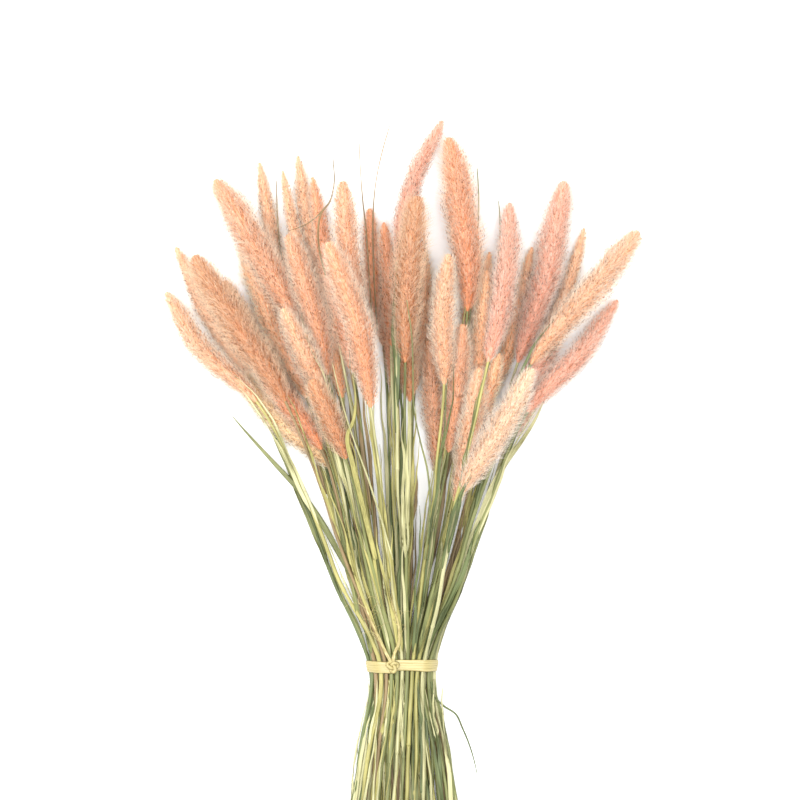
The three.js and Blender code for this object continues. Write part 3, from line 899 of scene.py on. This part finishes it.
class BUNDLE_OT_tie_raffia(Operator):
    """Bind the culms with turns of raffia, knotted on top, with two frayed ends"""

    bl_idname = "bundle.tie_raffia"
    bl_label = "Tie Raffia"

    def execute(self, context):
        settings = context.scene.tie
        rng = np.random.default_rng(7)
        y = tie_middle()[1]
        points, radii = heap_rods()
        outline = waist_outline(y, settings.strand_thickness, points, radii, KNOT_X)
        middle = outline.mean(0)
        around = np.linspace(0, 1, 150 * settings.turns)
        place = around * settings.turns % 1 * len(outline)
        steps = np.arange(len(outline) + 1)
        x, z = (np.interp(place, steps, np.append(line, line[0])) for line in outline.T)
        # each turn lies a little further out than the one before
        out = 1 + 0.012 * around * settings.turns
        slip = (around - 0.5) * (TIE_WIDTH - settings.strand_width)
        slip = slip + 0.35 * MM * wander(rng, around, 0.09)
        x, z = middle[0] + (x - middle[0]) * out, middle[1] + (z - middle[1]) * out
        line = np.stack([smoothed(axis, 7) for axis in (x, y + slip, z)], 1)
        knot = np.array([KNOT_X, y, outline[0, 1] + 1.0 * MM])
        parts = [self.wound(line, settings), self.knot(knot, settings)]
        parts += self.ends(knot, settings, points, radii, rng)
        finishes = [split_raffia(tuple(settings.raffia))]
        make_piece("raffia_tie_turns", parts, finishes, "raffia_tie")
        return {"FINISHED"}

    def wound(self, line, settings):
        """A flat strand wound along a line, its wide side outwards and its edges curled in a little."""
        ways = np.gradient(line, axis=0)
        ways /= np.linalg.norm(ways, axis=1)[:, None]
        out = np.cross([0.0, 1.0, 0.0], ways)
        out /= np.linalg.norm(out, axis=1)[:, None]
        wide = np.cross(ways, out)
        across = np.array([-1, -0.7, -0.35, 0, 0.35, 0.7, 1, 0.7, 0.35, 0, -0.35, -0.7])
        across = across * settings.strand_width / 2
        ridge = np.array([-0.6, 0.6, 1, 0.6, 1, 0.6, -0.6, -0.6, -0.6, -0.6, -0.6, -0.6])
        ridge = ridge * settings.strand_thickness / 2
        grid = line[:, None] + wide[:, None] * across[:, None] + out[:, None] * ridge[:, None]
        u = np.linspace(0.003, 0.997, len(line))
        return closed_tube(over_floor(grid, 0.1 * MM)[:, ::-1], u, np.linspace(0.01, 0.3, 13), 0)

    def knot(self, middle, settings):
        """An overhand knot drawn tight: x = sin t + 2 sin 2t, y = cos t - 2 cos 2t, z = -sin 3t."""
        t = np.linspace(0, 2 * math.pi, 120)
        plan = np.stack([np.sin(t) + 2 * np.sin(2 * t), np.cos(t) - 2 * np.cos(2 * t)], 1) * 1.15
        line = middle + np.column_stack([plan, 1.2 - 0.8 * np.sin(3 * t)]) * MM
        ways = np.gradient(line, axis=0)
        ways /= np.linalg.norm(ways, axis=1)[:, None]
        half, flat = np.full(len(t), 0.45 * settings.strand_width), np.full(len(t), 0.3)
        place = (0.003, 0.997, 0.31, 0.5)
        return strip(line, ways, half, 0.8 * MM, 0.3 * np.sin(4 * t), -flat, place, 0)

    def ends(self, knot, settings, points, radii, rng):
        """Two loose ends that lie on the heap, each splitting into curled fibres."""
        made = []
        plans = [
            [(0, 1), (-4, 8), (-9, 19), (-14, 30), (-19, 43)],
            [(0, 1), (1, 8), (4, 16), (4, 25), (-1, 42)],
        ]
        for plan, band in zip(plans, ((0.51, 0.6), (0.61, 0.7))):
            way = np.array(plan) * MM + knot[:2]
            knots = np.column_stack([way, heap_top(way, points, radii) + 0.9 * MM])
            knots[0, 2] = knot[2] + 0.8 * MM
            knots[1:, 2] = np.maximum(knots[1:, 2], smoothed(knots[1:, 2], 3))
            t = np.linspace(0, 1, 50)
            line, ways = follow(knots, t * distances(knots)[-1])
            half = settings.strand_width / 2 * (0.85 - 0.5 * t)
            roll, fold = 0.6 * wander(rng, t, 0.5), np.full(len(t), 0.35)
            made.append(strip(line, ways, half, 0.4 * MM, roll, fold, (0.003, 0.997, *band), 0))
            for _ in range(12):
                u = np.linspace(0, 1, 36)
                from_s = rng.uniform(0.35, 0.97) * distances(knots)[-1]
                root, way_out = follow(knots, np.array([from_s]))
                heading = math.atan2(way_out[0, 1], way_out[0, 0]) + rng.normal(0, 0.45)
                size = rng.uniform(9, 24) * MM
                curl = rng.normal(0, 3.2)
                bend = heading + curl * u**1.4
                plan_x = root[0, 0] + np.cumsum(np.cos(bend)) * size / len(u)
                plan_y = root[0, 1] + np.cumsum(np.sin(bend)) * size / len(u)
                floor = heap_top(np.column_stack([plan_x, plan_y]), points, radii)
                floor = smoothed(np.maximum(floor, root[0, 2] - 6 * MM), 9)
                end = np.maximum(floor, root[0, 2] - 4 * MM) + rng.uniform(0.5, 4) * MM
                z = root[0, 2] + (end - root[0, 2]) * u
                hair = np.column_stack([plan_x, plan_y, z])
                hair_ways = np.gradient(hair, axis=0)
                hair_ways /= np.linalg.norm(hair_ways, axis=1)[:, None]
                low = rng.uniform(0.71, 0.95)
                thin = np.linspace(0.22, 0.08, len(u)) * MM
                made.append(round_rod(hair, hair_ways, thin, 5, (0.003, 0.997, low, low + 0.03), 0))
        return made


# ---- Stage ---------------------------------------------------------------------------------------


class BUNDLE_OT_set_stage(Operator):
    """Set the pale table, the soft light and the camera that looks straight down"""

    bl_idname = "bundle.set_stage"
    bl_label = "Set Stage"

    def execute(self, context):
        settings = context.scene.stage
        scene = context.scene
        r = TABLE_REACH
        corners = [(-r, -r, 0), (r, -r, 0), (r, r, 0), (-r, r, 0)]
        mesh = bpy.data.meshes.new("table_top")
        mesh.from_pydata(corners, [], [(0, 1, 2, 3)])
        look = {"Base Color": tuple(settings.floor), "Roughness": 0.8, "Specular IOR Level": 0.1}
        mesh.materials.append(new_finish("Matt white laminate", look)[0])
        top = bpy.data.objects.new("table_top", mesh)
        scene.collection.objects.link(top)

        world = bpy.data.worlds.new("Soft studio")
        world.use_nodes = True
        sky = world.node_tree.nodes["Background"]
        sky.inputs["Color"].default_value = (1, 1, 1, 1)
        sky.inputs["Strength"].default_value = 0.88
        scene.world = world
        for name, place, size, watts in LAMPS:
            lamp = bpy.data.lights.new(name, "AREA")
            lamp.shape, lamp.size, lamp.energy = "DISK", size, watts
            holder = bpy.data.objects.new(name, lamp)
            holder.location = place
            aim = np.array(LIT_PLACE) - np.array(place)
            holder.rotation_euler = (
                math.atan2(math.hypot(aim[0], aim[1]), -aim[2]),
                0,
                math.atan2(aim[1], aim[0]) - math.pi / 2,
            )
            scene.collection.objects.link(holder)
        scene.view_settings.view_transform = "Standard"

        lens = bpy.data.cameras.new("overhead_camera")
        lens.sensor_width = SENSOR
        # so that the view is as wide as its setting at the height of the middle of the heap
        lens.lens = SENSOR * (settings.view_distance - HEAP_MIDDLE) / settings.view_width
        lens.clip_end = 200
        lens.dof.use_dof = False
        camera = bpy.data.objects.new("overhead_camera", lens)
        x, above_tie = VIEW_MIDDLE
        camera.location = (x, tie_middle()[1] + above_tie, settings.view_distance)
        scene.collection.objects.link(camera)
        scene.camera = camera
        return {"FINISHED"}


# ---- Add-on --------------------------------------------------------------------------------------


class BUNDLE_PT_steps(Panel):
    """The steps that make the bundle, and their settings"""

    bl_label = "Foxtail Bundle"
    bl_idname = "BUNDLE_PT_steps"
    bl_space_type = "VIEW_3D"
    bl_region_type = "UI"
    bl_category = "Bundle"

    def draw(self, context):
        for step, group in STEPS:
            box = self.layout.box()
            box.operator(step.bl_idname)
            settings = getattr(context.scene, group)
            for key in type(settings).__annotations__:
                box.prop(settings, key)


GROUPS = {"foxtail": FoxtailSettings, "leaf": LeafSettings, "tie": TieSettings, "stage": StageSettings}
STEPS = [
    (BUNDLE_OT_grow_foxtails, "foxtail"),
    (BUNDLE_OT_lay_leaves, "leaf"),
    (BUNDLE_OT_tie_raffia, "tie"),
    (BUNDLE_OT_set_stage, "stage"),
]


def register():
    for kind in [*GROUPS.values(), *(step for step, _ in STEPS), BUNDLE_PT_steps]:
        bpy.utils.register_class(kind)
    for name, group in GROUPS.items():
        setattr(bpy.types.Scene, name, PointerProperty(type=group))


def unregister():
    for name in GROUPS:
        delattr(bpy.types.Scene, name)
    for kind in [BUNDLE_PT_steps, *(step for step, _ in STEPS), *GROUPS.values()]:
        bpy.utils.unregister_class(kind)


def main():
    register()
    bpy.ops.bundle.grow_foxtails()
    bpy.ops.bundle.lay_leaves()
    bpy.ops.bundle.tie_raffia()
    bpy.ops.bundle.set_stage()


if __name__ == "__main__":
    main()
